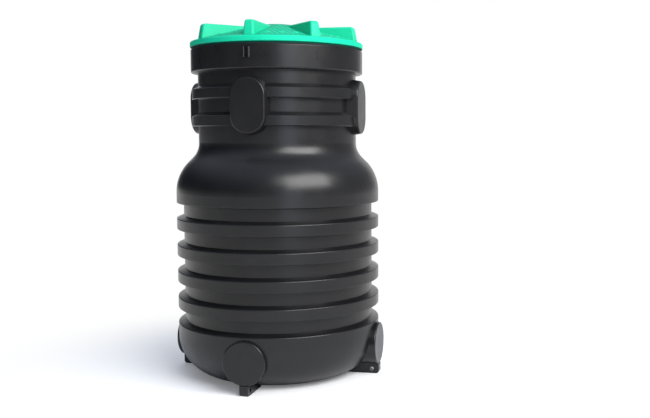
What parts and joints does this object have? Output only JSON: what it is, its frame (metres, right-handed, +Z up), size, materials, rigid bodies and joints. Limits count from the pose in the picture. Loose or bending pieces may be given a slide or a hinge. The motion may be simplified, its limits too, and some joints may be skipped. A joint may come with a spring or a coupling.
{
  "type": "septic tank",
  "caption": "Upright ribbed plastic septic tank with a domed shoulder, a neck with flat pipe seats, foot lugs with cross holes, and a ribbed lid that turns and lifts off.",
  "frame": {"origin": "on the floor, in the middle of the tank's footprint", "axes": "+Z up along the tank's axis; the pipe seats lie on X and Y, and the lock tab is on the -Y side"},
  "size_m": [1.036, 1.036, 1.7243],
  "materials": {
    "tank_black": "satin",
    "seal_rubber": "matt",
    "lid_green": "satin"
  },
  "bodies": {
    "tank": {"base_floor": "tank_black", "base_dish": "tank_black", "base_band": "tank_black", "ribbed_shell": "tank_black", "shoulder_dome": "tank_black", "neck_foot": "tank_black", "neck_lower_wall": "tank_black", "neck_upper_wall": "tank_black", "neck_top": "tank_black", "lower_seat_front": "tank_black", "lower_seat_right": "tank_black", "lower_seat_back": "tank_black", "lower_seat_left": "tank_black", "foot_lug_front": "tank_black", "foot_lug_right": "tank_black", "foot_lug_back": "tank_black", "foot_lug_left": "tank_black", "upper_seat_front": "tank_black", "upper_seat_right": "tank_black", "upper_seat_back": "tank_black", "upper_seat_left": "tank_black", "lower_band_1": "tank_black", "upper_band_1": "tank_black", "lower_band_2": "tank_black", "upper_band_2": "tank_black", "lower_band_3": "tank_black", "upper_band_3": "tank_black", "lower_band_4": "tank_black", "upper_band_4": "tank_black", "collar": "tank_black", "collar_ledge": "tank_black", "lid_lock_tab": "tank_black"},
    "seal": {"lid_seal": "seal_rubber"},
    "lid": {"lid_cover": "lid_green", "lid_skirt": "lid_green", "lid_rib_1": "lid_green", "lid_rib_2": "lid_green", "lid_rib_3": "lid_green", "lid_rib_4": "lid_green", "lid_rib_5": "lid_green", "lid_rib_6": "lid_green", "lid_rib_7": "lid_green", "lid_rib_8": "lid_green"}
  },
  "joints": [
    {"name": "lid_lift", "type": "slide", "parent": "tank", "child": "seal", "axis": [0, 0, 1], "range_m": [0, 0.12]},
    {"name": "lid_turn", "type": "hinge", "parent": "seal", "child": "lid", "pos_m": [0, 0, 1.6], "axis": [0, 0, 1], "range_deg": [0, 90]}
  ]
}
